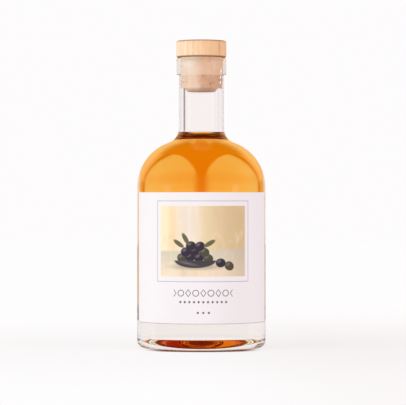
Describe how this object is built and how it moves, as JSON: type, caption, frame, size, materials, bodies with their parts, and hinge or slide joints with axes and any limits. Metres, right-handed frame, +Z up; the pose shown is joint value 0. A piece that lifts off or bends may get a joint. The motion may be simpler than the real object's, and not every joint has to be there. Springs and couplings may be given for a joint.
{
  "type": "verjuice bottle",
  "caption": "Round clear glass bar-top bottle of amber verjuice with a wooden-headed cork stopper and a wrapped paper label.",
  "frame": {"origin": "centre of the ring that the bottle stands on", "axes": "+Z up along the bottle's axis, the label's middle faces -Y, +X is to the right of the label as it is read"},
  "size_m": [0.076, 0.0762, 0.1814],
  "materials": {
    "clear_glass": "clear flint glass, polished",
    "verjuice": "clear amber-orange drink",
    "pale_wood": "smooth pale turned wood, fine grain",
    "cork": "natural cork, matt",
    "label_paper": "uncoated white paper with a small printed panel"
  },
  "bodies": {
    "root": {"bottle": "clear_glass", "verjuice": "verjuice", "stopper_head": "pale_wood", "stopper_cork": "cork", "label": "label_paper"}
  },
  "joints": []
}
